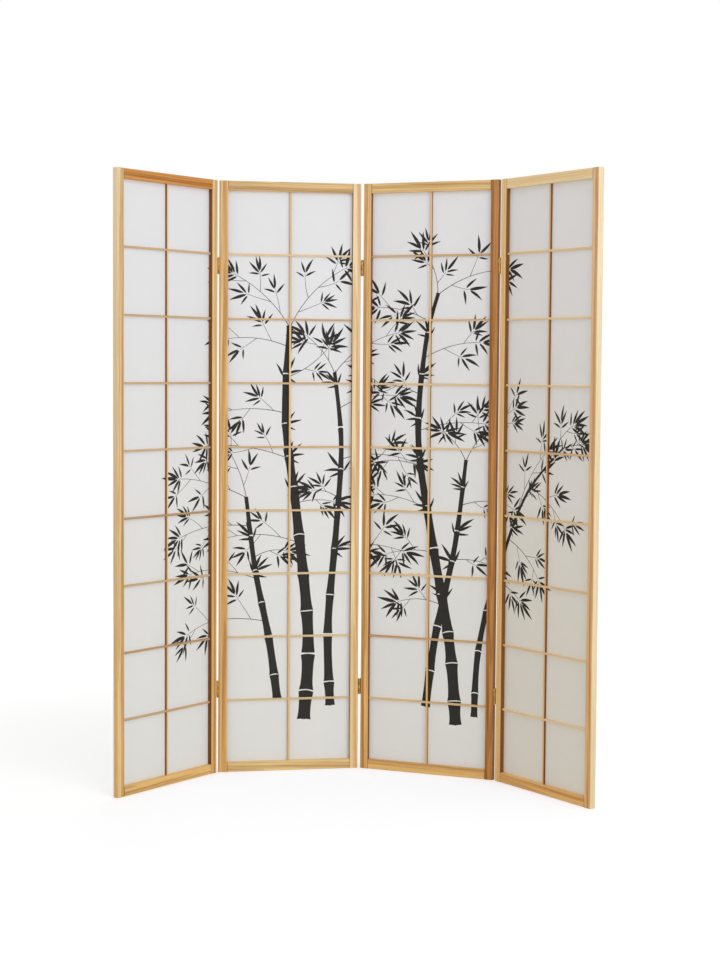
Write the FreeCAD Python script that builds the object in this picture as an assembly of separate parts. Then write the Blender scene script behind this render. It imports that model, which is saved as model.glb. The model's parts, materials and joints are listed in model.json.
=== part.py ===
import FreeCAD, Part
import math
import os

# Folding screen: wooden panels side by side, each a stile-and-rail frame that holds a
# lattice with a paper sheet behind it, joined by double-action hinges.
# Millimetres. A panel's own frame: X along the panel from its left end, Y from its
# front face to its back face, Z up from the floor.

# The whole screen
screen_height = 1790.0
panel_width = 430.0
panel_gap = 7.0
# Angle between neighbours, turned about the front pins; 0 is flat, 180 is front on front
fold_angles = [43.2, 32.6, 33.6]
panel_count = len(fold_angles) + 1

# Panel frame
frame_depth = 20.0
stile_width = 25.0
rail_height = 29.0
outer_round = 2.5
inner_round = 0.6

# Lattice
columns = 2
rows = 9
lattice_width = 6.0
lattice_depth = 7.0
lattice_recess = 7.0
lattice_tenon = 4.0
lattice_round = 0.5
wood_fit = 0.05
lap_share = 0.5

# Paper, held in a groove of the frame and glued to the back of the lattice
paper_thickness = 0.5
paper_tuck = 3.5
groove_fit = 0.1
groove_spare = 0.5

# Dowels of the corner joints
dowels_per_corner = 2
dowel_radius = 3.0
dowel_pitch = 13.0
dowel_in_stile = 15.0
dowel_in_rail = 20.0
dowel_spare = 0.5

# Hinges
hinge_height = 48.0
hinge_inset = 254.0
leaf_thickness = 1.2
link_thickness = 1.2
knuckle_count = 4
barrel_radius = 2.9
barrel_proud = 0.6
barrel_clearance = 0.5
knuckle_play = 0.3
pin_radius = 1.3
pin_fit = 0.05
pin_head_radius = 2.2
pin_head_height = 1.0
pin_tail = 0.8

# Countersunk screws of the hinge leaves
screws_per_leaf = 3
screw_pitch = 15.0
screw_radius = 1.3
screw_head_radius = 2.5
screw_head_height = 1.3
screw_length = 13.0
screw_tip = 2.5
screw_tip_share = 0.3
screw_slot_width = 0.6
screw_slot_depth = 0.5
screw_fit = 0.05

# Every cut runs past the face it opens by this much
overrun = 1.0

up = FreeCAD.Vector(0, 0, 1)
along = FreeCAD.Vector(1, 0, 0)


def vector(x, y, z):
    return FreeCAD.Vector(x, y, z)


def block(x_span, y_span, z_span):
    """Box between the low and high value of each span."""
    low = vector(x_span[0], y_span[0], z_span[0])
    size = [span[1] - span[0] for span in (x_span, y_span, z_span)]
    return Part.makeBox(size[0], size[1], size[2], low)


def around(middle, size, clearance=0):
    """Span of a size about its middle, widened by a clearance at both ends."""
    return (middle - size / 2 - clearance, middle + size / 2 + clearance)


def rounded_bar(width, depth, length, radii):
    """Bar along Z on a rectangle whose four corners are rounded, the first at the origin."""
    corners = [vector(0, 0, 0), vector(width, 0, 0), vector(width, depth, 0), vector(0, depth, 0)]
    points = []
    for index, corner in enumerate(corners):
        radius = radii[index]
        before = (corners[index - 1] - corner).normalize() * radius
        after = (corners[(index + 1) % len(corners)] - corner).normalize() * radius
        centre = corner + before + after
        middle = centre - (before + after) / math.sqrt(2)
        points.append((corner + before, middle, corner + after))
    edges = []
    for index, (start, middle, end) in enumerate(points):
        if radii[index] > 0:
            edges.append(Part.Arc(start, middle, end).toShape())
        edges.append(Part.LineSegment(end, points[(index + 1) % len(points)][0]).toShape())
    return Part.Face(Part.Wire(edges)).extrude(up * length)


def laid_along(bar):
    """Turn a bar that stands along Z so that it lies along X, with its width along Y."""
    turned = bar.copy()
    turned.Placement = FreeCAD.Placement(vector(0, 0, 0), FreeCAD.Rotation(vector(1, 1, 1), 120))
    return turned


def moved(shape, x, y, z):
    copy = shape.copy()
    copy.translate(vector(x, y, z))
    return copy


# Places inside a panel

opening_width = panel_width - 2 * stile_width
opening_height = screen_height - 2 * rail_height
lattice_back = lattice_recess + lattice_depth


def grid_places(start, length, cells):
    """Middles of the bars that part a length into equal cells."""
    step = (length + lattice_width) / cells
    return [start - lattice_width / 2 + step * index for index in range(1, cells)]


upright_places = grid_places(stile_width, opening_width, columns)
cross_places = grid_places(rail_height, opening_height, rows)
dowel_heights = [rail_height / 2 + (index - (dowels_per_corner - 1) / 2) * dowel_pitch
                 for index in range(dowels_per_corner)]


def lattice_socket(x_span, z_span):
    """Pocket for the end of a lattice bar."""
    return block(x_span, (lattice_recess - wood_fit, lattice_back + wood_fit), z_span)


def paper_groove(x_span, z_span):
    return block(x_span, (lattice_back - groove_fit, lattice_back + paper_thickness + groove_fit), z_span)


def dowel(x_span, z, radius):
    start = vector(x_span[0], frame_depth / 2, z)
    return Part.makeCylinder(radius, x_span[1] - x_span[0], start, along)


def corner_dowels(side, spare, clearance):
    """Dowels of both corners at one side of a panel, with room at their ends."""
    if side == "left":
        x_span = (stile_width - dowel_in_stile - spare, stile_width + dowel_in_rail + spare)
    else:
        edge = panel_width - stile_width
        x_span = (edge - dowel_in_rail - spare, edge + dowel_in_stile + spare)
    heights = dowel_heights + [screen_height - z for z in dowel_heights]
    return [dowel(x_span, z, dowel_radius + clearance) for z in heights]


def dowel_holes():
    return corner_dowels("left", dowel_spare, wood_fit) + corner_dowels("right", dowel_spare, wood_fit)


def stile(side):
    """Upright of the frame, with sockets, groove, dowel holes and screw holes."""
    if side == "left":
        radii = [outer_round, inner_round, inner_round, outer_round]
        start = 0
        socket = (stile_width - lattice_tenon - wood_fit, stile_width + overrun)
        groove = (stile_width - paper_tuck - groove_spare, stile_width + overrun)
    else:
        radii = [inner_round, outer_round, outer_round, inner_round]
        start = panel_width - stile_width
        socket = (start - overrun, start + lattice_tenon + wood_fit)
        groove = (start - overrun, start + paper_tuck + groove_spare)
    bar = moved(rounded_bar(stile_width, frame_depth, screen_height, radii), start, 0, 0)
    cuts = [lattice_socket(socket, around(z, lattice_width, wood_fit)) for z in cross_places]
    low = rail_height - paper_tuck - groove_spare
    cuts.append(paper_groove(groove, (low, screen_height - low)))
    return bar.cut(cuts + dowel_holes())


def rail(side):
    """Top or bottom bar of the frame, between the stiles."""
    if side == "bottom":
        radii = [outer_round, outer_round, inner_round, inner_round]
        start = 0
        socket = (rail_height - lattice_tenon - wood_fit, rail_height + overrun)
        groove = (rail_height - paper_tuck - groove_spare, rail_height + overrun)
    else:
        radii = [inner_round, inner_round, outer_round, outer_round]
        start = screen_height - rail_height
        socket = (start - overrun, start + lattice_tenon + wood_fit)
        groove = (start - overrun, start + paper_tuck + groove_spare)
    bar = laid_along(rounded_bar(frame_depth, rail_height, opening_width, radii))
    bar = moved(bar, stile_width, 0, start)
    cuts = [lattice_socket(around(x, lattice_width, wood_fit), socket) for x in upright_places]
    cuts.append(paper_groove((stile_width - overrun, panel_width - stile_width + overrun), groove))
    return bar.cut(cuts + dowel_holes())


lap_depth = lattice_depth * lap_share


def upright_bar(x):
    """Upright lattice bar, half-lapped behind the cross bars."""
    length = opening_height + 2 * lattice_tenon
    radii = [lattice_round, lattice_round, 0, 0]
    bar = rounded_bar(lattice_width, lattice_depth, length, radii)
    bar = moved(bar, x - lattice_width / 2, lattice_recess, rail_height - lattice_tenon)
    front = (lattice_recess - overrun, lattice_recess + lap_depth)
    side = around(x, lattice_width, overrun)
    return bar.cut([block(side, front, around(z, lattice_width, wood_fit)) for z in cross_places])


def cross_bar(z):
    """Level lattice bar, whole at the front and half-lapped over the uprights."""
    length = opening_width + 2 * lattice_tenon
    radii = [lattice_round, 0, 0, lattice_round]
    bar = laid_along(rounded_bar(lattice_depth, lattice_width, length, radii))
    bar = moved(bar, stile_width - lattice_tenon, lattice_recess, z - lattice_width / 2)
    back = (lattice_recess + lap_depth, lattice_back + overrun)
    side = around(z, lattice_width, overrun)
    return bar.cut([block(around(x, lattice_width, wood_fit), back, side) for x in upright_places])


def paper_sheet():
    """Sheet behind the lattice, tucked into the groove on all sides."""
    x_span = (stile_width - paper_tuck, panel_width - stile_width + paper_tuck)
    z_span = (rail_height - paper_tuck, screen_height - rail_height + paper_tuck)
    return block(x_span, (lattice_back, lattice_back + paper_thickness), z_span)


# Hinge, in its own frame: X across the gap from its middle, Y from the front face to the
# back face of the panels, Z up from the hinge's lower end

front_axis = -barrel_proud
back_axis = frame_depth + barrel_proud
plate_start = front_axis + barrel_radius + barrel_clearance
plate_end = back_axis - barrel_radius - barrel_clearance
bore_radius = pin_radius + pin_fit
knuckle_height = hinge_height / knuckle_count
hinge_heights = [hinge_inset - hinge_height / 2, screen_height - hinge_inset - hinge_height / 2]


def knuckle_span(index):
    """Height of a knuckle, counted from the top, with its play where it meets another."""
    low = hinge_height - (index + 1) * knuckle_height
    high = low + knuckle_height
    if index < knuckle_count - 1:
        low += knuckle_play / 2
    if index > 0:
        high -= knuckle_play / 2
    return (low, high)


def knuckles(axis, places, plate_span, plate_edge):
    """Rings about a pin, each with the tongue that ties it to its plate."""
    solids = []
    for index in places:
        low, high = knuckle_span(index)
        solids.append(Part.makeCylinder(barrel_radius, high - low, vector(0, axis, low), up))
        solids.append(block(plate_span, sorted((axis, plate_edge)), (low, high)))
    return solids


def pin_bore(axis):
    start = vector(0, axis, -overrun)
    return Part.makeCylinder(bore_radius, hinge_height + 2 * overrun, start, up)


def fused(shapes):
    return shapes[0].fuse(shapes[1:]).removeSplitter()


# Front barrel from the top: leaf, link, leaf, link. Back barrel: link, leaf, link, leaf.
even_knuckles = range(0, knuckle_count, 2)
odd_knuckles = range(1, knuckle_count, 2)


def leaf(side):
    """Leaf on a stile's edge: the left one turns on the front pin, the right on the back."""
    if side == "left":
        span = (-panel_gap / 2, -panel_gap / 2 + leaf_thickness)
        rings = knuckles(front_axis, even_knuckles, span, plate_start)
        bore = pin_bore(front_axis)
    else:
        span = (panel_gap / 2 - leaf_thickness, panel_gap / 2)
        rings = knuckles(back_axis, odd_knuckles, span, plate_end)
        bore = pin_bore(back_axis)
    plate = block(span, (plate_start, plate_end), (0, hinge_height))
    cuts = [screw_body(side, z, screw_fit) for z in screw_places]
    return fused([plate] + rings).cut([bore] + cuts)


def link():
    """Middle plate that carries both pins."""
    span = around(0, link_thickness)
    plate = block(span, (plate_start, plate_end), (0, hinge_height))
    rings = knuckles(front_axis, odd_knuckles, span, plate_start)
    rings += knuckles(back_axis, even_knuckles, span, plate_end)
    return fused([plate] + rings).cut([pin_bore(front_axis), pin_bore(back_axis)])


def pin(axis):
    """Hinge pin with a head above the barrel and a plain end below it."""
    shank = Part.makeCylinder(pin_radius, hinge_height + pin_tail + pin_head_height,
                              vector(0, axis, -pin_tail), up)
    head = Part.makeCylinder(pin_head_radius, pin_head_height - pin_fit,
                             vector(0, axis, hinge_height + pin_fit), up)
    return fused([shank, head])


screw_places = [hinge_height / 2 + (index - (screws_per_leaf - 1) / 2) * screw_pitch
                for index in range(screws_per_leaf)]


def screw_body(side, z, clearance):
    """Countersunk screw as one turned body, from the leaf's outer face into the stile."""
    head = screw_head_radius + clearance
    shank = screw_radius + clearance
    length = screw_length + clearance
    profile = [vector(0, 0, 0), vector(head, 0, 0), vector(shank, 0, screw_head_height),
               vector(shank, 0, length - screw_tip),
               vector(shank * screw_tip_share, 0, length), vector(0, 0, length)]
    face = Part.Face(Part.makePolygon(profile + profile[:1]))
    body = face.revolve(vector(0, 0, 0), up, 360)
    inner_face = panel_gap / 2 - leaf_thickness
    if side == "left":
        turn = FreeCAD.Rotation(up, -along)
        place = vector(-inner_face, frame_depth / 2, z)
    else:
        turn = FreeCAD.Rotation(up, along)
        place = vector(inner_face, frame_depth / 2, z)
    body.Placement = FreeCAD.Placement(place, turn)
    return body


def screw(side, z):
    """Screw with a slot across its head."""
    inner_face = panel_gap / 2 - leaf_thickness
    reach = (inner_face - overrun, inner_face + screw_slot_depth)
    if side == "left":
        reach = (-reach[1], -reach[0])
    across = around(frame_depth / 2, 2 * screw_head_radius, overrun)
    slot = block(reach, across, around(z, screw_slot_width))
    return screw_body(side, z, 0).cut(slot)


def at_hinges(shapes, x):
    """Copies of a hinge's solids at both hinge heights of a panel edge."""
    return [moved(shape, x, 0, z) for z in hinge_heights for shape in shapes]


# Plan of the screen at rest: each panel is turned from its left neighbour about the
# front pin, and the line between the two free ends lies along X.

left_hinge_x = -panel_gap / 2
right_hinge_x = panel_width + panel_gap / 2


def turned_about(point, angle):
    return FreeCAD.Placement(vector(0, 0, 0), FreeCAD.Rotation(up, angle), point)


def panel_plan():
    plan = [FreeCAD.Placement()]
    for fold in fold_angles:
        step = FreeCAD.Placement(vector(right_hinge_x - left_hinge_x, 0, 0), FreeCAD.Rotation())
        bend = turned_about(vector(left_hinge_x, front_axis, 0), -fold)
        plan.append(plan[-1].multiply(step).multiply(bend))
    chord = plan[-1].multVec(vector(panel_width, 0, 0)) - plan[0].multVec(vector(0, 0, 0))
    square = FreeCAD.Placement(vector(0, 0, 0), FreeCAD.Rotation(chord, along))
    return [square.multiply(place) for place in plan]


def panel_nodes(number):
    """The pieces of one panel in the panel's own frame."""
    name = "panel_%d_" % number
    left_stile = stile("left")
    right_stile = stile("right")
    nodes = {}
    if number > 1:
        holes = at_hinges([screw_body("right", z, screw_fit) for z in screw_places], left_hinge_x)
        left_stile = left_stile.cut(holes)
        joint = "hinge_%d%d_" % (number - 1, number)
        nodes[joint + "right_leaves"] = at_hinges([leaf("right")], left_hinge_x)
        nodes[joint + "right_screws"] = at_hinges([screw("right", z) for z in screw_places], left_hinge_x)
        nodes[joint + "links"] = at_hinges([link()], left_hinge_x)
        nodes[joint + "front_pins"] = at_hinges([pin(front_axis)], left_hinge_x)
        nodes[joint + "back_pins"] = at_hinges([pin(back_axis)], left_hinge_x)
    if number < panel_count:
        holes = at_hinges([screw_body("left", z, screw_fit) for z in screw_places], right_hinge_x)
        right_stile = right_stile.cut(holes)
        joint = "hinge_%d%d_" % (number, number + 1)
        nodes[joint + "left_leaves"] = at_hinges([leaf("left")], right_hinge_x)
        nodes[joint + "left_screws"] = at_hinges([screw("left", z) for z in screw_places], right_hinge_x)
    nodes[name + "left_stile"] = [left_stile]
    nodes[name + "right_stile"] = [right_stile]
    nodes[name + "top_rail"] = [rail("top")]
    nodes[name + "bottom_rail"] = [rail("bottom")]
    nodes[name + "upright_bar"] = [upright_bar(x) for x in upright_places]
    nodes[name + "cross_bars"] = [cross_bar(z) for z in cross_places]
    nodes[name + "paper"] = [paper_sheet()]
    nodes[name + "dowels"] = corner_dowels("left", 0, 0) + corner_dowels("right", 0, 0)
    return nodes


def placed(shape, placement):
    copy = shape.copy()
    copy.Placement = placement.multiply(copy.Placement)
    return copy


plan = panel_plan()
nodes = {}
for index, place in enumerate(plan):
    for name, solids in panel_nodes(index + 1).items():
        nodes[name] = [placed(solid, place) for solid in solids]

# The origin is on the floor below the middle of the screen's box
whole = Part.makeCompound([solid for solids in nodes.values() for solid in solids])
box = whole.optimalBoundingBox(False, False)
shift = vector(-box.Center.x, -box.Center.y, 0)

os.makedirs("parts", exist_ok=True)
for name, solids in nodes.items():
    shape = Part.makeCompound(solids) if len(solids) > 1 else solids[0]
    shape.translate(shift)
    shape.exportStep("parts/%s.step" % name)

print("box", [round(value, 3) for value in (box.XLength, box.YLength, box.ZLength)])
for index, place in enumerate(plan):
    print("panel", index + 1, "angle", round(place.Rotation.toEuler()[0], 3))
    for label, axis in (("front pin", front_axis), ("back pin", back_axis)):
        if index > 0:
            point = place.multVec(vector(left_hinge_x, axis, 0)) + shift
            print("  joint %d%d" % (index, index + 1), label, round(point.x, 4), round(point.y, 4))
    middle = place.multVec(vector(panel_width / 2, frame_depth / 2, 0)) + shift
    print("  bottom middle", round(middle.x, 3), round(middle.y, 3))
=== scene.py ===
import bpy
import json
import math
import random
from mathutils import Matrix, Vector, noise


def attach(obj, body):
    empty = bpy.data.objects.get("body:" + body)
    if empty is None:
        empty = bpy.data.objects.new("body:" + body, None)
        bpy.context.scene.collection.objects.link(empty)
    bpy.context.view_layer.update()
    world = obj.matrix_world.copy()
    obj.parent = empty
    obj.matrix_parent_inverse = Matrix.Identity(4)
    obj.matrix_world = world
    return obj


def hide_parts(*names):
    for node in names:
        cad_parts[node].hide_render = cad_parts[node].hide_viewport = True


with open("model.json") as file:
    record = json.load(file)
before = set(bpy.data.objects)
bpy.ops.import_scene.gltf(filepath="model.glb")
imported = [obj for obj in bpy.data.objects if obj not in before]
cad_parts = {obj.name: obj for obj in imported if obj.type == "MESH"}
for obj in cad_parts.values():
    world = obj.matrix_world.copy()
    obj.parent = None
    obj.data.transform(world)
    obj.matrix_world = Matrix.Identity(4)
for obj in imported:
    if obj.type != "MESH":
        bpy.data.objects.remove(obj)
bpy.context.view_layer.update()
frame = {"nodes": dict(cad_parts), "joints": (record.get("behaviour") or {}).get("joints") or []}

# Folding screen. Metres. In a panel's own frame, X runs along the panel from its left end,
# Y from its front face to its back face and Z up from the floor.

screen_height = 1.790
panel_width = 0.430
panel_gap = 0.007
fold_1_2 = math.radians(43.2)
stile_width = 0.025
rail_height = 0.029
barrel_proud = 0.0006
lattice_width = 0.006
lattice_back = 0.0140
paper_thickness = 0.0005
paper_tuck = 0.0035
cell_columns = 2
cell_rows = 9
panel_count = 4

opening_left = stile_width
opening_right = panel_width - stile_width
opening_low = rail_height
opening_high = screen_height - rail_height
cell_width = (opening_right - opening_left + lattice_width) / cell_columns
cell_height = (opening_high - opening_low + lattice_width) / cell_rows


# Where the panels stand, from the places of the hinge pins

def pin_place(name):
    joint = next(joint for joint in frame["joints"] if joint["name"] == name)
    return Vector(joint["pos_m"][:2])


def panel_frames():
    """Front left corner and direction of each panel, seen from above."""
    places = []
    for number in range(2, panel_count + 1):
        joint = "joint_%d%d_" % (number - 1, number)
        front, back = pin_place(joint + "front_pin"), pin_place(joint + "back_pin")
        inward = (back - front).normalized()
        along = Vector((inward.y, -inward.x))
        places.append((front + along * panel_gap / 2 + inward * barrel_proud, along))
    along = places[0][1] @ Matrix.Rotation(-fold_1_2, 2)
    inward = Vector((-along.y, along.x))
    front = pin_place("joint_12_front_pin")
    corner = front - along * (panel_width + panel_gap / 2) + inward * barrel_proud
    return [(corner, along)] + places


panels = panel_frames()


def in_row(number, x, y, z):
    """A point of a panel's own frame, in the frame of the whole screen."""
    corner, along = panels[number - 1]
    spot = corner + along * x + Vector((-along.y, along.x)) * y
    return (spot.x, spot.y, z)


# Shader building blocks

def linear(*levels):
    """Colour of 0 to 255 screen levels as a shader takes it."""
    shares = [level / 255 for level in levels]
    return [share / 12.92 if share <= 0.04045 else ((share + 0.055) / 1.055) ** 2.4
            for share in shares] + [1]


def add(tree, kind, inputs=None, **settings):
    made = tree.nodes.new(kind)
    for key, value in settings.items():
        setattr(made, key, value)
    for key, value in (inputs or {}).items():
        if isinstance(value, bpy.types.NodeSocket):
            tree.links.new(value, made.inputs[key])
        else:
            made.inputs[key].default_value = value
    return made


def arithmetic(tree, operation, *values):
    inputs = dict(enumerate(values))
    return add(tree, "ShaderNodeMath", inputs, operation=operation).outputs[0]


def combined(tree, x, y, z):
    return add(tree, "ShaderNodeCombineXYZ", {"X": x, "Y": y, "Z": z}).outputs[0]


def ranged(tree, value, low, high, new_low=0, new_high=1, kind="SMOOTHSTEP"):
    inputs = {"Value": value, "From Min": low, "From Max": high,
              "To Min": new_low, "To Max": new_high}
    return add(tree, "ShaderNodeMapRange", inputs, interpolation_type=kind).outputs[0]


def blended(tree, share, first, second, kind="MIX"):
    made = add(tree, "ShaderNodeMix", data_type="RGBA", blend_type=kind)
    for key, value in (("Factor_Float", share), ("A_Color", first), ("B_Color", second)):
        socket = next(item for item in made.inputs if item.identifier == key)
        if isinstance(value, bpy.types.NodeSocket):
            tree.links.new(value, socket)
        else:
            socket.default_value = value
    return next(item for item in made.outputs if item.identifier == "Result_Color")


def noise_level(tree, vector, scale, detail=2, roughness=0.5):
    inputs = {"Vector": vector, "Scale": scale, "Detail": detail, "Roughness": roughness}
    return add(tree, "ShaderNodeTexNoise", inputs).outputs[0]


def add_relief(tree, shader, height, strength, distance):
    inputs = {"Height": height, "Strength": strength, "Distance": distance}
    bump = add(tree, "ShaderNodeBump", inputs)
    tree.links.new(bump.outputs[0], shader.inputs["Normal"])


def new_material(name):
    material = bpy.data.materials.new(name)
    material.use_nodes = True
    return material, material.node_tree, material.node_tree.nodes["Principled BSDF"]


def set_inputs(shader, values):
    for key, value in values.items():
        shader.inputs[key].default_value = value


def panel_coordinates(tree, number):
    """Coordinates in a panel's own frame, and the direction a face looks in it."""
    corner, along = panels[number - 1]
    yaw = math.atan2(along.y, along.x)
    rotation = Matrix.Rotation(-yaw, 3, "Z")
    shift = -(rotation @ Vector((corner.x, corner.y, 0)))
    source = add(tree, "ShaderNodeTexCoord")
    place = add(tree, "ShaderNodeMapping", {
        "Vector": source.outputs["Object"], "Location": shift, "Rotation": (0, 0, -yaw)})
    facing = add(tree, "ShaderNodeMapping", {
        "Vector": source.outputs["Normal"], "Rotation": (0, 0, -yaw)}, vector_type="NORMAL")
    split = add(tree, "ShaderNodeSeparateXYZ", {"Vector": place.outputs[0]})
    looks = add(tree, "ShaderNodeSeparateXYZ", {"Vector": facing.outputs[0]})
    return split.outputs, looks.outputs


# Wood. A pair is a range: of random choice, or from where a tone starts to where it is full.
# A noise is given by its scale, detail and roughness, a relief by its strength and its depth.
# The figure's shares say how much each part of it darkens the wood.

longest_offset = 40
sway_scale = 2.8
sway_reach = 0.010
grain_stretch = 0.018
pith_tilt = (-0.022, 0.022)
pith_depth = (0.012, 0.05)
pith_aside = (-0.4, 1.4)
ring_pitch = 0.0050
ring_pitch_share = (0.7, 1.4)
ring_wobble_scale = 90
ring_wobble = 1.2
late_wood = (0.25, 0.9)
ring_end = (1.0, 0.93)
ring_share = 0.42
broad_noise = (110, 3, 0.6)
broad_levels = (0.36, 0.66)
broad_share = 0.30
fibre_noise = (900, 2, 0.6)
fibre_middle = 0.58
fibre_share = 0.8
patch_noise = (34, 3, 0.6)
patch_stretch = 0.08
patch_middle = 0.45
patch_share = 0.7
streak_place = (0.15, 0.85)
streak_reach = (0.12, 0.24)
streak_edge = (1.6, 0.6)

# Painted light: the tone uprights take towards the floor, warmer and a little darker
painted_foot_warmth = linear(255, 247, 224)
painted_foot_fade = (1.7, 0.1)
# Painted shade on the sides of uprights that look into the frame
inner_side_shade = linear(142, 108, 72)
# Painted shade on the sides of stiles that face the gaps between panels
hinge_side_shade = linear(188, 162, 138)
# Heights over which the painted light on the two outer sides changes
side_light_rise = (0.4, 1.7)
side_facing = (0.55, 0.95)
# Joint lines at a rail's ends, darkened with painted shade of the gap
seam_shade_tone = linear(84, 54, 28)
seam_shade_share = 0.85
seam_edge = (0.0022, 0.0006)
half_opening = (opening_right - opening_left) / 2
middle_levels = (0.3, 0.7)
wood_roughness = (0.42, 0.58)
wood_gloss = {"Specular IOR Level": 0.2, "Coat Weight": 0.05, "Coat Roughness": 0.35}
wood_relief = (0.35, 0.00025)
ring_relief_share = 0.5


def wood_figure(tree, chance, depth_place, across, run, start, width, streak):
    """Share of the dark tone over a board: growth rings round a pith beside it, one darker
    streak, patches and fibres. Gives the rings' late wood and the fibres as well."""
    offset = chance.uniform(0, longest_offset)
    sway = noise_level(tree, combined(tree, offset, 0, run), sway_scale)
    swayed = arithmetic(tree, "MULTIPLY_ADD", sway, sway_reach, across)
    squeezed = arithmetic(tree, "MULTIPLY_ADD", run, grain_stretch, offset)
    grain_at = combined(tree, swayed, depth_place, squeezed)

    tilt = chance.uniform(*pith_tilt)
    depth = arithmetic(tree, "MULTIPLY_ADD", run, tilt, depth_place)
    depth = arithmetic(tree, "ADD", depth, chance.uniform(*pith_depth))
    aside = arithmetic(tree, "ADD", swayed, -start - width * chance.uniform(*pith_aside))
    ring_at = combined(tree, aside, depth, 0)
    radius = add(tree, "ShaderNodeVectorMath", {0: ring_at}, operation="LENGTH").outputs["Value"]
    wobble = noise_level(tree, grain_at, ring_wobble_scale)
    pitch = ring_pitch * chance.uniform(*ring_pitch_share)
    radius = arithmetic(tree, "MULTIPLY_ADD", wobble, pitch * ring_wobble, radius)
    phase = arithmetic(tree, "FRACT", arithmetic(tree, "DIVIDE", radius, pitch))
    late = arithmetic(tree, "MULTIPLY", ranged(tree, phase, *late_wood),
                      ranged(tree, phase, *ring_end))

    broad = ranged(tree, noise_level(tree, grain_at, *broad_noise), *broad_levels)
    fibres = noise_level(tree, grain_at, *fibre_noise)
    middle = start + width * chance.uniform(*streak_place) + sway_reach / 2
    reach = width * chance.uniform(*streak_reach)
    off = arithmetic(tree, "ABSOLUTE", arithmetic(tree, "SUBTRACT", swayed, middle))
    band = ranged(tree, off, reach * streak_edge[0], reach * streak_edge[1])
    along = arithmetic(tree, "MULTIPLY_ADD", run, patch_stretch, offset)
    patches = noise_level(tree, combined(tree, swayed, depth_place, along), *patch_noise)

    share = arithmetic(tree, "MULTIPLY", band, streak)
    share = arithmetic(tree, "MULTIPLY_ADD", late, ring_share, share)
    share = arithmetic(tree, "MULTIPLY_ADD", broad, broad_share, share)
    for level, level_middle, part in ((patches, patch_middle, patch_share),
                                      (fibres, fibre_middle, fibre_share)):
        level = arithmetic(tree, "SUBTRACT", level, level_middle)
        share = arithmetic(tree, "MULTIPLY_ADD", level, part, share)
    return share, late, fibres


def side_light_and_shade(tree, colour, sideways, run, inner, pale):
    """Painted light and shade on the sides of an upright. Those that look into the frame get
    painted shade: both sides where inner is 0, else the one towards 1 or -1. The other side
    gets painted shade a little darker than the front, or painted light in the pale tone, by
    the shares given for its foot and its top."""
    if inner:
        inward = arithmetic(tree, "MULTIPLY", sideways, inner)
    else:
        inward = arithmetic(tree, "ABSOLUTE", sideways)
    # Painted shade on the sides that look into the frame
    colour = blended(tree, ranged(tree, inward, *side_facing), colour, inner_side_shade, "MULTIPLY")
    if not inner:
        return colour
    outward = ranged(tree, inward, *[-level for level in side_facing])
    # Painted shade on the side that faces the gap to the next panel
    if not pale:
        return blended(tree, outward, colour, hinge_side_shade, "MULTIPLY")
    # Painted light on the outer side, growing from its foot share to its top share
    foot_share, top_share, side_light_tone = pale
    rise = ranged(tree, run, *side_light_rise, foot_share, top_share, "LINEAR")
    return blended(tree, arithmetic(tree, "MULTIPLY", outward, rise), colour, side_light_tone)


def wood(name, number, upright, start, width, tones, seed, inner=0, streak=0.5, pale=None,
         bar_spread=0, seams=False):
    """Lacquered softwood of a panel's board that begins at start across its grain. tones are
    its light and dark one; inner and pale set the painted shade and painted light on the
    sides of an upright. Uprights also get painted light that warms them towards the floor.
    bar_spread is how much the bars of one material differ in tone. seams are the joint lines
    at a rail's ends, darkened with painted shade of the gap."""
    chance = random.Random(seed)
    material, tree, shader = new_material(name)
    place, looks = panel_coordinates(tree, number)
    across, run = (place[0], place[2]) if upright else (place[2], place[0])
    share, late, fibres = wood_figure(tree, chance, place[1], across, run, start, width, streak)
    if bar_spread:
        bar = arithmetic(tree, "FLOOR", arithmetic(tree, "DIVIDE", place[2], cell_height))
        chosen = add(tree, "ShaderNodeTexWhiteNoise", {"W": arithmetic(tree, "ADD", bar, seed)},
                     noise_dimensions="1D").outputs["Value"]
        chosen = arithmetic(tree, "SUBTRACT", chosen, 0.5)
        share = arithmetic(tree, "MULTIPLY_ADD", chosen, bar_spread, share)
    light, dark = [linear(*tone) for tone in tones]
    colour = blended(tree, share, light, dark)
    if upright:
        # Painted light: warmer and a little darker towards the floor
        lower = ranged(tree, run, *painted_foot_fade, kind="LINEAR")
        colour = blended(tree, lower, colour, painted_foot_warmth, "MULTIPLY")
        colour = side_light_and_shade(tree, colour, looks[0], run, inner, pale)
    # Joint lines darkened with painted shade of the gap
    if seams:
        aside = arithmetic(tree, "SUBTRACT", run, panel_width / 2)
        from_middle = arithmetic(tree, "ABSOLUTE", aside)
        seam = ranged(tree, from_middle, half_opening - seam_edge[0],
                      half_opening - seam_edge[1], 0, seam_shade_share)
        colour = blended(tree, seam, colour, seam_shade_tone)
    tree.links.new(colour, shader.inputs["Base Color"])
    rough = ranged(tree, fibres, *middle_levels, *wood_roughness)
    tree.links.new(rough, shader.inputs["Roughness"])
    set_inputs(shader, wood_gloss)
    relief = arithmetic(tree, "MULTIPLY_ADD", late, ring_relief_share, fibres)
    add_relief(tree, shader, relief, *wood_relief)
    return material


# Brass, paper and ink. The paper's colour carries painted light: cooler towards the top of every
# sheet, and warmer at the foot of the panels listed in the foot tints.

tarnish_tone = linear(130, 90, 44)
tarnish_noise = (90, 3, 0.55)
tarnish_levels = (0.32, 0.75)
scratch_noise = (420, 3, 0.7)
scratch_stretch = 14
brass_roughness = (0.20, 0.38)
brass_relief = (0.25, 0.0001)
paper_tones = (linear(238, 238, 238), linear(233, 233, 232))
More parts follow.
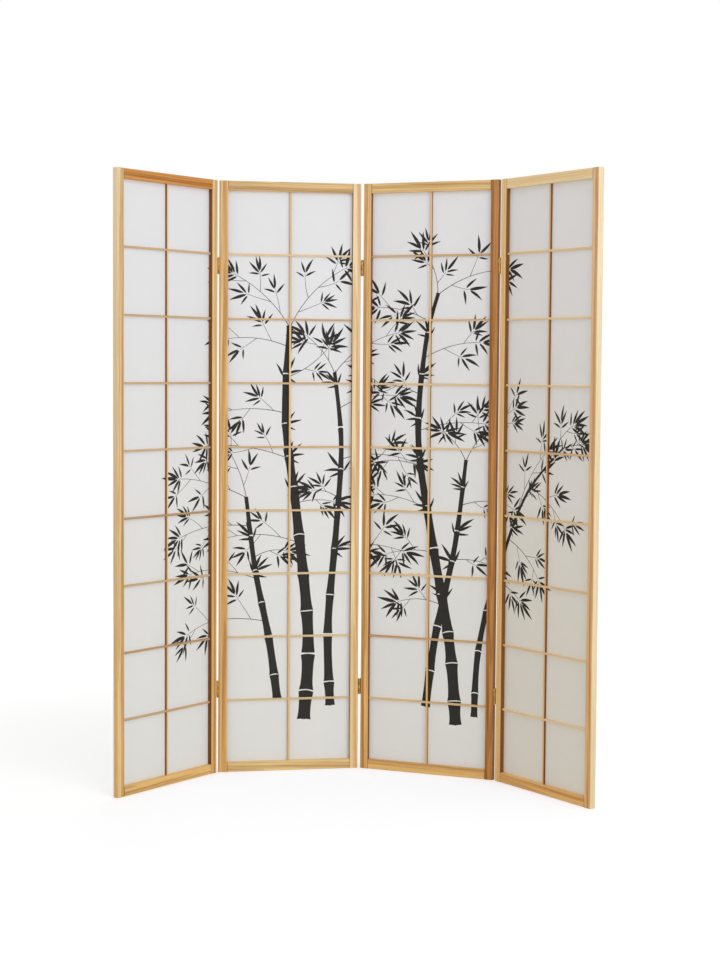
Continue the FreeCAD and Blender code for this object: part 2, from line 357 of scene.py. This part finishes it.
# Painted light on the paper: cooler at the top of each sheet, warmer at the foot where listed
paper_head_cool_light = (1, 1.005, 1.05, 1)
paper_foot_plain_light = (1, 1, 1, 1)
paper_foot_warm_lights = {4: (0.965, 0.94, 0.88, 1)}
paper_light_rise = (0.3, 1.6)
paper_glow = 0.22
paper_gloss = {"Roughness": 0.85, "Specular IOR Level": 0.25}
paper_relief = (0.2, 0.0001)
cloud_noise = (28, 4, 0.6)
pulp_noise = (170, 4, 0.75)
pulp_levels = (0.5, 0.75)
pulp_slant = 0.5
pulp_stretch = 5
pulp_share = 0.35
ink_noise = (55, 5, 0.7)
ink_levels = (0.3, 0.75)
ink_paling = 1.35
ink_gloss = {"Roughness": 0.7, "Specular IOR Level": 0.3}


def brass(name, tone, seed):
    """Dull brass plate with fine scratches and brown tarnish."""
    material, tree, shader = new_material(name)
    source = add(tree, "ShaderNodeTexCoord").outputs["Object"]
    shifted = add(tree, "ShaderNodeVectorMath", {0: source, 1: (seed, seed, 0)}).outputs[0]
    tarnish = ranged(tree, noise_level(tree, shifted, *tarnish_noise), *tarnish_levels)
    colour = blended(tree, tarnish, tone, tarnish_tone)
    tree.links.new(colour, shader.inputs["Base Color"])
    set_inputs(shader, {"Metallic": 1})
    lines = add(tree, "ShaderNodeMapping", {"Vector": shifted, "Scale": (1, 1, scratch_stretch)})
    scratches = noise_level(tree, lines.outputs[0], *scratch_noise)
    rough = ranged(tree, scratches, *middle_levels, *brass_roughness)
    tree.links.new(rough, shader.inputs["Roughness"])
    add_relief(tree, shader, scratches, *brass_relief)
    return material


def paper(name, number):
    """White screen paper: soft fibres, matt, and some light comes through. Painted light makes it
    cooler towards the top, and warmer at the foot on some panels.
    """
    material, tree, shader = new_material(name)
    place = panel_coordinates(tree, number)[0]
    flat = combined(tree, place[0], place[2], float(number))
    clouds = noise_level(tree, flat, *cloud_noise)
    slanted = add(tree, "ShaderNodeMapping", {
        "Vector": flat, "Rotation": (0, 0, pulp_slant), "Scale": (1, pulp_stretch, 1)})
    fibres = ranged(tree, noise_level(tree, slanted.outputs[0], *pulp_noise), *pulp_levels)
    clouds = arithmetic(tree, "MULTIPLY", clouds, 1 - pulp_share)
    pulp = arithmetic(tree, "MULTIPLY_ADD", fibres, pulp_share, clouds)
    colour = blended(tree, pulp, *paper_tones)
    # Painted light: cooler towards the top, warmer at the foot on the panels listed
    foot = paper_foot_warm_lights.get(number, paper_foot_plain_light)
    sheet_light = blended(tree, ranged(tree, place[2], *paper_light_rise), foot, paper_head_cool_light)
    colour = blended(tree, 1.0, colour, sheet_light, "MULTIPLY")
    tree.links.new(colour, shader.inputs["Base Color"])
    set_inputs(shader, paper_gloss)
    add_relief(tree, shader, fibres, *paper_relief)
    through = add(tree, "ShaderNodeBsdfTranslucent", {"Color": colour})
    mixed = add(tree, "ShaderNodeMixShader", {
        0: paper_glow, 1: shader.outputs[0], 2: through.outputs[0]})
    tree.links.new(mixed.outputs[0], tree.nodes["Material Output"].inputs["Surface"])
    return material


def ink(name, tone):
    """Matt printing ink, a little uneven."""
    material, tree, shader = new_material(name)
    source = add(tree, "ShaderNodeTexCoord").outputs["Object"]
    uneven = ranged(tree, noise_level(tree, source, *ink_noise), *ink_levels)
    pale = [share * ink_paling for share in tone[:3]] + [1]
    tree.links.new(blended(tree, uneven, tone, pale), shader.inputs["Base Color"])
    set_inputs(shader, ink_gloss)
    return material


# Ink print: a bamboo grove over the four sheets. It is drawn on the screen laid flat: metres
# across from the screen's left end, and metres above the floor. A pair is a range of random
# choice, but a taper is the share of the twig width at the start and how much it loses up to
# the end. Shares, and the sizes and places of leaves, are parts of the width or the length of
# the stalk, twig or leaf that they shape.

ink_step = 0.009
node_gap = 0.0034
node_curve = 0.0040
node_curve_share = (-0.2, 1.2)
node_swell = (0.05, 0.12)
swell_reach = 0.35
waist = 0.13
internode_length = 0.120
internode_share = (0.75, 1.25)
first_internode_share = 0.75
fewest_steps = 6
least_rest = 8
stalk_strips = 6
foot_reach = 0.5
foot_narrow = 0.72
foot_rise_share = 0.28
foot_rise_fade = 0.25

leaf_length = 0.058
leaf_width_share = 0.165
leaf_steps = 10
leaf_belly = 0.72
leaf_fullness = 0.95
leaf_tip = 0.0002
leaf_stray = (-0.10, 0.10)
leaf_size = (0.78, 1.10)
middle_leaf_share = 1.04
outer_leaf_loss = 1.2
outer_leaf_back = 0.7
middle_leaf_ahead = 0.10
leaf_back = (0.6, 1.2)
leaf_away = (0.05, 0.11)
leaf_bend = (-0.26, 0.26)
leaf_droop = 0.16

twig_width = 0.0016
twig_taper = (1.3, 0.6)
twig_end_spread = (2.0, 2.9)
twig_end_leaves = (6, 7)
fork_place = (0.7, 1.0)
fork_room = 0.7
fork_turn = (0.5, 1.0)
fork_length = (0.20, 0.34)
fork_bend = (0, 0.4)
fork_taper = (1.0, 0.4)
fork_spread = (1.7, 2.7)
few_leaves = (4, 5, 6)
fork_leaf_size = (0.72, 0.98)
bare_stalk_share = 0.42
node_tuft_chance = 0.75
node_tuft_turn = (0.5, 1.1)
node_tuft_spread = (1.6, 2.4)
node_leaf_size = (0.75, 1.0)


def smooth_path(points, step):
    """Points about a step apart on a smooth curve through the given ones."""
    ends = [points[0]] + list(points) + [points[-1]]
    path = []
    for a, b, c, d in zip(ends, ends[1:], ends[2:], ends[3:]):
        count = max(1, round(math.dist(b, c) / step))
        for index in range(count):
            t = index / count
            path.append(tuple(
                b[k] + t / 2 * (c[k] - a[k] + t * (2 * a[k] - 5 * b[k] + 4 * c[k] - d[k]
                                                  + t * (3 * b[k] - a[k] - 3 * c[k] + d[k])))
                for k in range(2)))
    return path + [tuple(points[-1])]


def bent_path(x, z, angle, length, bend, count, phase=0):
    """Path of count steps that starts at an angle and turns by bend."""
    path = [(x, z)]
    for index in range(count):
        turn = angle + bend * (index + phase) / count
        path.append((path[-1][0] + length / count * math.cos(turn),
                     path[-1][1] + length / count * math.sin(turn)))
    return path


def heading(path, index):
    before, after = path[max(index - 1, 0)], path[min(index + 1, len(path) - 1)]
    return math.atan2(after[1] - before[1], after[0] - before[0])


def ladder(path, half_width, strips=1, sag=0, foot_rise=0):
    """Rows of points across a path, from its left edge to its right one. The middle of each
    row lies ahead of its ends by sag; foot_rise lifts the ends of the first rows instead."""
    made = []
    for index, (x, z) in enumerate(path):
        angle = heading(path, index)
        half = half_width(index / (len(path) - 1))
        row = []
        for strip in range(strips + 1):
            q = 1 - 2 * strip / strips
            ahead = (foot_rise * foot_rise_fade ** index - sag) * q * q
            row.append((x + ahead * math.cos(angle) - q * half * math.sin(angle),
                        z + ahead * math.sin(angle) + q * half * math.cos(angle)))
        made.append(row)
    return made


def stalk(points, base_width, tip_width, chance):
    """Jointed stalk: one ladder for each length between its nodes, its middle line, and the
    places of the nodes on that line."""
    path = smooth_path(points, ink_step / 2)
    pieces, nodes, start = [], [], 0
    while start < len(path) - fewest_steps:
        length = internode_length * chance.uniform(*internode_share)
        if start == 0:
            length *= first_internode_share
        end = start
        run = 0
        while end < len(path) - 1 and run < length:
            run += math.dist(path[end], path[end + 1])
            end += 1
        if len(path) - end < least_rest:
            end = len(path) - 1
        part = path[start:end + 1:2]
        if part[-1] != path[end]:
            part.append(path[end])
        swell = chance.uniform(*node_swell)

        def half_width(t, low=start, high=end, run=run, swell=swell):
            share = (low + (high - low) * t) / len(path)
            width = base_width + (tip_width - base_width) * share
            near_end = min(t, 1 - t) * run / (width * swell_reach)
            shape = 1 - waist * math.sin(math.pi * t) + swell * math.exp(-near_end ** 2)
            from_foot = share * len(path) * ink_step / 2 / (width * foot_reach)
            if from_foot < 1:
                rounding = math.sqrt(1 - (1 - from_foot) ** 2)
                shape *= foot_narrow + (1 - foot_narrow) * rounding
            return width / 2 * shape

        angle = heading(part, 0)
        part[0] = (part[0][0] + node_gap * math.cos(angle),
                   part[0][1] + node_gap * math.sin(angle))
        sag = node_curve * chance.uniform(*node_curve_share)
        foot_rise = 0 if start else base_width * foot_rise_share
        pieces.append(ladder(part, half_width, stalk_strips, sag, foot_rise))
        nodes.append(start)
        start = end
    return pieces, path, nodes[1:]


def leaf(x, z, angle, length, bend):
    half = length * leaf_width_share / 2

    def half_width(t):
        return half * math.sin(math.pi * min(t, 1) ** leaf_belly) ** leaf_fullness + leaf_tip

    return ladder(bent_path(x, z, angle, length, bend, leaf_steps, 0.5), half_width)


def tuft(x, z, angle, spread, count, length, chance):
    """Leaves that fan out round the end of a twig, the outer ones from further back."""
    pieces = []
    for index in range(count):
        place = index / (count - 1) - 0.5
        turn = angle + spread * place + chance.uniform(*leaf_stray)
        size = length * (middle_leaf_share - outer_leaf_loss * place * place)
        size *= chance.uniform(*leaf_size)
        back = length * (outer_leaf_back * abs(place) - middle_leaf_ahead)
        back *= chance.uniform(*leaf_back)
        away = length * chance.uniform(*leaf_away)
        bend = chance.uniform(*leaf_bend) - leaf_droop * math.cos(turn)
        pieces.append(leaf(x - back * math.cos(angle) + away * math.cos(turn),
                           z - back * math.sin(angle) + away * math.sin(turn),
                           turn, size, bend))
    return pieces


def twig(x, z, angle, length, bend):
    return bent_path(x, z, angle, length, bend, max(3, round(length / ink_step)))


def twig_ladder(path, taper):
    wide, loss = taper
    return ladder(path, lambda t: twig_width / 2 * (wide - loss * t))


def spray(x, z, angle, length, bend, forks, chance):
    """Twig that forks to both sides and ends in tufts of leaves."""
    path = twig(x, z, angle, length, bend)
    pieces = [twig_ladder(path, twig_taper)]
    tip = heading(path, len(path) - 1)
    spread = chance.uniform(*twig_end_spread)
    pieces += tuft(*path[-1], tip, spread, chance.choice(twig_end_leaves), leaf_length, chance)
    for fork in range(forks):
        share = (fork + chance.uniform(*fork_place)) / (forks + fork_room)
        at = round(share * (len(path) - 1))
        side = 1 if fork % 2 else -1
        turn = heading(path, at) + side * chance.uniform(*fork_turn)
        short_length = length * chance.uniform(*fork_length)
        short = twig(*path[at], turn, short_length, -side * chance.uniform(*fork_bend))
        pieces.append(twig_ladder(short, fork_taper))
        tip = heading(short, len(short) - 1)
        spread = chance.uniform(*fork_spread)
        count = chance.choice(few_leaves)
        size = leaf_length * chance.uniform(*fork_leaf_size)
        pieces += tuft(*short[-1], tip, spread, count, size, chance)
    return pieces


# Each stalk: the points it passes, its width at the foot and at the tip, and its sprays, each
# with its place along the stalk, heading, length, bend and number of forks
grove = [
    ([(0.700, 0.150), (0.712, 0.42), (0.676, 0.78), (0.640, 1.08), (0.652, 1.36)],
     0.044, 0.020, [
         (0.99, 2.10, 0.24, 0.6, 4), (0.99, 1.15, 0.26, -0.7, 4), (0.93, 2.75, 0.20, 0.6, 3),
         (0.86, 0.35, 0.17, 0.6, 2), (0.78, 2.90, 0.21, 0.5, 3), (0.66, 2.75, 0.27, 0.5, 4),
         (0.55, 0.30, 0.13, -0.6, 1), (0.45, 2.75, 0.25, 0.7, 3)]),
    ([(0.782, 0.190), (0.774, 0.44), (0.798, 0.74), (0.812, 1.00), (0.790, 1.22)],
     0.032, 0.012, [
         (0.99, 1.95, 0.15, 0.6, 2), (0.99, 0.95, 0.24, -0.8, 4), (0.88, 0.55, 0.19, -0.7, 3),
         (0.74, 0.30, 0.24, -0.7, 3), (0.62, 2.50, 0.09, 0.8, 1), (0.48, 0.20, 0.22, -0.5, 3)]),
    ([(0.618, 0.215), (0.592, 0.40), (0.548, 0.62), (0.520, 0.84)],
     0.030, 0.012, [
         (0.99, 1.75, 0.20, 0.5, 3), (0.99, 2.65, 0.26, 0.5, 4), (0.84, 3.05, 0.26, 0.4, 4),
         (0.70, 0.60, 0.11, -0.9, 1), (0.60, 2.75, 0.24, 0.6, 3), (0.40, 2.95, 0.28, 0.6, 4)]),
    ([(1.180, 0.150), (1.158, 0.40), (1.098, 0.72), (1.052, 1.02), (1.072, 1.30), (1.112, 1.46)],
     0.042, 0.012, [
         (0.99, 1.55, 0.15, 0.8, 3), (0.99, 0.65, 0.24, -0.7, 3), (0.92, 2.60, 0.18, 0.6, 3),
         (0.84, 0.55, 0.19, -0.6, 2), (0.76, 2.70, 0.17, 0.6, 3), (0.68, 0.35, 0.22, -0.5, 4),
         (0.60, 2.80, 0.15, 0.6, 2), (0.50, 2.65, 0.19, 0.6, 3), (0.40, 2.95, 0.17, 0.6, 2)]),
    ([(1.082, 0.200), (1.112, 0.42), (1.172, 0.70), (1.205, 0.96)],
     0.031, 0.012, [
         (0.99, 1.15, 0.24, -0.8, 4), (0.99, 2.00, 0.12, 0.6, 1), (0.80, 0.35, 0.19, -0.8, 3),
         (0.60, 0.15, 0.14, -0.6, 2), (0.42, 2.75, 0.15, 0.8, 2)]),
    ([(1.238, 0.180), (1.252, 0.40), (1.318, 0.66), (1.430, 0.87), (1.590, 1.01)],
     0.024, 0.006, [
         (0.99, 0.35, 0.09, -0.5, 2), (0.90, 1.15, 0.16, -0.7, 3), (0.80, -0.35, 0.20, -0.6, 4),
         (0.68, 1.25, 0.25, -0.6, 4), (0.60, -0.35, 0.19, -0.7, 3), (0.45, -0.15, 0.12, -0.6, 1)]),
]
grove_seed = 17


def drawn_grove():
    chance = random.Random(grove_seed)
    pieces = []
    for points, base_width, tip_width, sprays in grove:
        lengths, path, nodes = stalk(points, base_width, tip_width, chance)
        pieces += lengths
        for share, angle, length, bend, forks in sprays:
            at = round(share * (len(path) - 1))
            pieces += spray(*path[at], angle, length, bend, forks, chance)
        for node in nodes:
            if node > bare_stalk_share * len(path) and chance.random() < node_tuft_chance:
                side = chance.choice((-1, 1))
                turn = heading(path, node) + side * chance.uniform(*node_tuft_turn)
                spread = chance.uniform(*node_tuft_spread)
                count = chance.choice(few_leaves)
                size = leaf_length * chance.uniform(*node_leaf_size)
                pieces += tuft(*path[node], turn, spread, count, size, chance)
    return pieces


# Paper sheets

paper_step = 0.009
paper_middle = lattice_back + paper_thickness / 2
ripple_cell = 0.00055
ripple_wrinkle = 0.00022
billow_middle = 0.6
billow_spread = 0.4
billow_seeds = (7.3, 3.7, 5.1)
wrinkle_along = 9
wrinkle_across = 30
wrinkle_seed = 3.3


def ripple(number, x, z):
    """How far the paper stands off its flat place, towards the back, between the bars."""
    if not (opening_left < x < opening_right and opening_low < z < opening_high):
        return 0
    column = (x - opening_left + lattice_width / 2) / cell_width
    row = (z - opening_low + lattice_width / 2) / cell_height
    held = abs(math.sin(math.pi * column) * math.sin(math.pi * row))
    cell = (math.floor(column), math.floor(row), number)
    spot = Vector([place * seed for place, seed in zip(cell, billow_seeds)])
    billow = billow_middle + billow_spread * noise.noise(spot)
    slanted = Vector(((x + z) * wrinkle_along, (z - x) * wrinkle_across, number * wrinkle_seed))
    return held * (ripple_cell * billow + ripple_wrinkle * noise.noise(slanted))


def spaced(low, high, step):
    count = max(1, round((high - low) / step))
    return [low + (high - low) * index / count for index in range(count + 1)]


def mesh_piece(name, points, faces, material, body):
    mesh = bpy.data.meshes.new(name)
    mesh.from_pydata(points, [], faces)
    mesh.materials.append(material)
    mesh.validate()
    piece = bpy.data.objects.new(name, mesh)
    bpy.context.scene.collection.objects.link(piece)
    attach(piece, body)
    return piece


def paper_sheet(number):
    xs = spaced(opening_left - paper_tuck, opening_right + paper_tuck, paper_step)
    zs = spaced(opening_low - paper_tuck, opening_high + paper_tuck, paper_step)
    points = [in_row(number, x, paper_middle + ripple(number, x, z), z) for z in zs for x in xs]
    wide = len(xs)
    faces = [(k * wide + i, k * wide + i + 1, (k + 1) * wide + i + 1, (k + 1) * wide + i)
             for k in range(len(zs) - 1) for i in range(wide - 1)]
    panel = "panel_%d" % number
    material = paper("screen_paper_%d" % number, number)
    piece = mesh_piece("sheet_%d" % number, points, faces, material, panel)
    piece.data.polygons.foreach_set("use_smooth", [True] * len(faces))
    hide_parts(panel + "_paper")


# The print: thin films just off both faces of the sheets, dark in front and paler behind.
# Films drawn one after the other lie film_step apart, over film_steps levels, so that few of
# those that cross share a level.

film_lift = 0.00012
film_step = 0.00001
film_steps = 6
front_ink_tone = linear(38, 36, 33)
back_ink_tone = linear(112, 110, 106)


def clipped(polygon, axis, limit, keep_above):
    """The part of a flat polygon on one side of a line."""
    kept = []
    for before, after in zip(polygon[-1:] + polygon[:-1], polygon):
        side_before = (before[axis] - limit) * (1 if keep_above else -1)
        side_after = (after[axis] - limit) * (1 if keep_above else -1)
        if (side_before > 0) != (side_after > 0):
            t = side_before / (side_before - side_after)
            kept.append(tuple(before[k] + t * (after[k] - before[k]) for k in range(2)))
        if side_after > 0:
            kept.append(after)
    return kept


def in_opening(shape):
    """The part of a flat polygon that lies in a panel's opening."""
    for axis, limit, above in ((0, opening_left, True), (0, opening_right, False),
                               (1, opening_low, True), (1, opening_high, False)):
        shape = clipped(shape, axis, limit, above)
    return shape


def print_film(number, pieces, side, material, name):
    """What a panel shows of the print, on the side of its sheet towards -1 or 1."""
    points, faces, known = [], [], {}
    start = (number - 1) * (panel_width + panel_gap)
    for order, rows in enumerate(pieces):
        off = side * (film_lift + film_step * (order % film_steps))
        for low, high in zip(rows, rows[1:]):
            for strip in range(len(low) - 1):
                quad = (low[strip], low[strip + 1], high[strip + 1], high[strip])
                shape = in_opening([(x - start, z) for x, z in quad])
                if len(shape) < 3:
                    continue
                face = []
                for x, z in shape:
                    key = (order, round(x, 6), round(z, 6))
                    if key not in known:
                        known[key] = len(points)
                        y = paper_middle + ripple(number, x, z) + off
                        points.append(in_row(number, x, y, z))
                    if known[key] not in face:
                        face.append(known[key])
                if len(face) > 2:
                    faces.append(face)
    mesh_piece(name, points, faces, material, "panel_%d" % number)


drawn = drawn_grove()
front_ink = ink("ink_front", front_ink_tone)
back_ink = ink("ink_back", back_ink_tone)
for number in range(1, panel_count + 1):
    paper_sheet(number)
    print_film(number, drawn, -1, front_ink, "print_front_%d" % number)
    print_film(number, drawn, 1, back_ink, "print_back_%d" % number)


# Finish of the solid pieces. Wood has a light and a dark tone, in levels of 0 to 255.

board_tones = {
    "panel_1_left_stile": ((252, 219, 170), (189, 147, 100)),
    "panel_1_right_stile": ((250, 212, 154), (195, 148, 95)),
    "panel_1_top_rail": ((224, 157, 83), (168, 106, 48)),
    "panel_1_bottom_rail": ((254, 210, 137), (197, 151, 90)),
    "panel_2_left_stile": ((253, 211, 148), (196, 148, 94)),
    "panel_2_right_stile": ((254, 232, 189), (223, 181, 138)),
    "panel_2_top_rail": ((241, 206, 152), (182, 141, 92)),
    "panel_2_bottom_rail": ((254, 222, 158), (204, 163, 109)),
    "panel_3_left_stile": ((251, 207, 149), (183, 135, 81)),
    "panel_3_right_stile": ((209, 151, 90), (149, 96, 49)),
    "panel_3_top_rail": ((244, 209, 150), (201, 155, 101)),
    "panel_3_bottom_rail": ((254, 212, 139), (207, 153, 90)),
    "panel_4_left_stile": ((254, 228, 174), (244, 194, 138)),
    "panel_4_right_stile": ((254, 219, 172), (207, 155, 109)),
    "panel_4_top_rail": ((254, 235, 190), (248, 213, 161)),
    "panel_4_bottom_rail": ((254, 208, 134), (212, 154, 89)),
}
# Painted light on the two outer sides: its share at the foot and at the top of the side, and its
# tone
outer_side_light = {"panel_1_left_stile": (0, 0.85, linear(255, 240, 212)),
              "panel_4_right_stile": (0.4, 0.4, linear(231, 235, 214))}
cross_bar_tones = (((214, 182, 140), (177, 129, 86)), ((234, 208, 168), (190, 142, 96)),
                   ((237, 209, 163), (194, 145, 95)), ((250, 224, 180), (218, 171, 125)))
cross_bar_spread = 1.0
upright_bar_tones = ((246, 212, 162), (218, 170, 118))
dowel_tones = ((236, 204, 150), (208, 170, 116))
hinge_tone = linear(214, 171, 106)
screw_tone = linear(210, 167, 102)
screw_seed = 3.0

# Name, whether it stands, where it begins across its grain, its width, and its inner side
boards = (("left_stile", True, 0, stile_width, 1),
          ("right_stile", True, panel_width - stile_width, stile_width, -1),
          ("top_rail", False, screen_height - rail_height, rail_height, 0),
          ("bottom_rail", False, 0, rail_height, 0))


def finish_node(name, material):
    piece = frame["nodes"][name]
    piece.data.materials.clear()
    piece.data.materials.append(material)


for number in range(1, panel_count + 1):
    panel = "panel_%d_" % number
    seed = number * 10
    for board, upright, start, width, inner in boards:
        name = panel + board
        finish_node(name, wood(name, number, upright, start, width, board_tones[name], seed,
                               inner, pale=outer_side_light.get(name), seams=not upright))
        seed += 1
    for part, upright, width, tones, spread in (
            ("cross_bars", False, screen_height, cross_bar_tones[number - 1], cross_bar_spread),
            ("upright_bar", True, panel_width, upright_bar_tones, 0),
            ("dowels", False, screen_height, dowel_tones, 0)):
        seed += 1
        name = panel + part
        finish_node(name, wood(name, number, upright, 0, width, tones, seed, streak=0,
                               bar_spread=spread))

hinge_brass = brass("hinge_brass", hinge_tone, 0.0)
screw_brass = brass("screw_brass", screw_tone, screw_seed)
for name in frame["nodes"]:
    if name.startswith("hinge_"):
        finish_node(name, screw_brass if "screws" in name else hinge_brass)


# Floor and light. What is seen, mirrored or looked through to is white. The floor glows white
# away from the screen, and less near it, where the shadow shows.

def seen_share(tree):
    path = add(tree, "ShaderNodeLightPath")
    seen = arithmetic(tree, "MAXIMUM", path.outputs["Is Camera Ray"],
                      path.outputs["Is Glossy Ray"])
    return arithmetic(tree, "MAXIMUM", seen, path.outputs["Is Transmission Ray"])


white = (1, 1, 1, 1)
sky_light = (1.0, 0.94, 0.80, 1)
sky_strength = 0.62
world = bpy.data.worlds.new("studio")
bpy.context.scene.world = world
world.use_nodes = True
sky = world.node_tree
seen = seen_share(sky)
background = sky.nodes["Background"]
sky.links.new(blended(sky, seen, sky_light, white), background.inputs["Color"])
strength = ranged(sky, seen, 0, 1, sky_strength, 1.0, "LINEAR")
sky.links.new(strength, background.inputs["Strength"])

floor_radius = 9.0
floor_sides = 96
floor_colour = (0.80, 0.785, 0.76, 1)
floor_gloss = {"Roughness": 0.9, "Specular IOR Level": 0}
floor_glow = (0.80, 0.87, 1, 1)
glow_reach = (0.9, 3.2)
glow_strength = (0.50, 0.64)
turns = [2 * math.pi * index / floor_sides for index in range(floor_sides)]
rim = [(floor_radius * math.cos(turn), floor_radius * math.sin(turn), 0) for turn in turns]
floor_mesh = bpy.data.meshes.new("floor")
floor_mesh.from_pydata(rim, [], [list(range(floor_sides))])
floor = bpy.data.objects.new("floor", floor_mesh)
bpy.context.scene.collection.objects.link(floor)
floor_material, tree, shader = new_material("floor")
set_inputs(shader, {"Base Color": floor_colour, **floor_gloss})
spot = add(tree, "ShaderNodeTexCoord").outputs["Object"]
away = add(tree, "ShaderNodeVectorMath", {0: spot}, operation="LENGTH").outputs["Value"]
glow = ranged(tree, away, *glow_reach, *glow_strength)
extra = add(tree, "ShaderNodeEmission", {
    "Color": floor_glow, "Strength": arithmetic(tree, "MULTIPLY", seen_share(tree), glow)})
both = add(tree, "ShaderNodeAddShader", {0: shader.outputs[0], 1: extra.outputs[0]})
tree.links.new(both.outputs[0], tree.nodes["Material Output"].inputs["Surface"])
floor_mesh.materials.append(floor_material)

# Name, place, size, power and colour of each lamp
lamps = (("high", (1.0, -2.6, 3.2), 2.0, 28, (0.80, 0.84, 1)),
         ("low", (3.4, -3.2, 0.8), 2.0, 50, (0.82, 0.95, 1)),
         ("behind", (-0.6, 3.8, 2.4), 2.4, 18, (0.88, 0.94, 1)))
lamp_target = Vector((0, 0, 0.9))

for name, place, size, power, colour in lamps:
    light = bpy.data.lights.new(name, "AREA")
    light.shape = "DISK"
    light.size = size
    light.energy = power
    light.color = colour
    lamp = bpy.data.objects.new(name, light)
    lamp.location = place
    lamp.rotation_mode = "QUATERNION"
    lamp.rotation_quaternion = (lamp_target - Vector(place)).to_track_quat("-Z", "Y")
    bpy.context.scene.collection.objects.link(lamp)


# Camera

view_place = Vector((0.37626, -5.41033, 1.22936))
view_yaw = math.radians(-3.9822)
view_pitch = math.radians(3.4314)
view_roll = math.radians(0.3977)
view_lens = 69.341
view_reach = 100
ahead = Vector((math.sin(view_yaw) * math.cos(view_pitch),
                math.cos(view_yaw) * math.cos(view_pitch), -math.sin(view_pitch)))
right = Vector((math.cos(view_yaw), -math.sin(view_yaw), 0))
above = right.cross(ahead)
camera_x = right * math.cos(view_roll) + above * math.sin(view_roll)
camera_y = above * math.cos(view_roll) - right * math.sin(view_roll)
lens = bpy.data.cameras.new("view")
lens.lens = view_lens
lens.clip_end = view_reach
camera = bpy.data.objects.new("view", lens)
camera.matrix_world = Matrix((camera_x, camera_y, -ahead)).transposed().to_4x4()
camera.location = view_place
bpy.context.scene.collection.objects.link(camera)
bpy.context.scene.camera = camera
bpy.context.scene.view_settings.view_transform = "Standard"
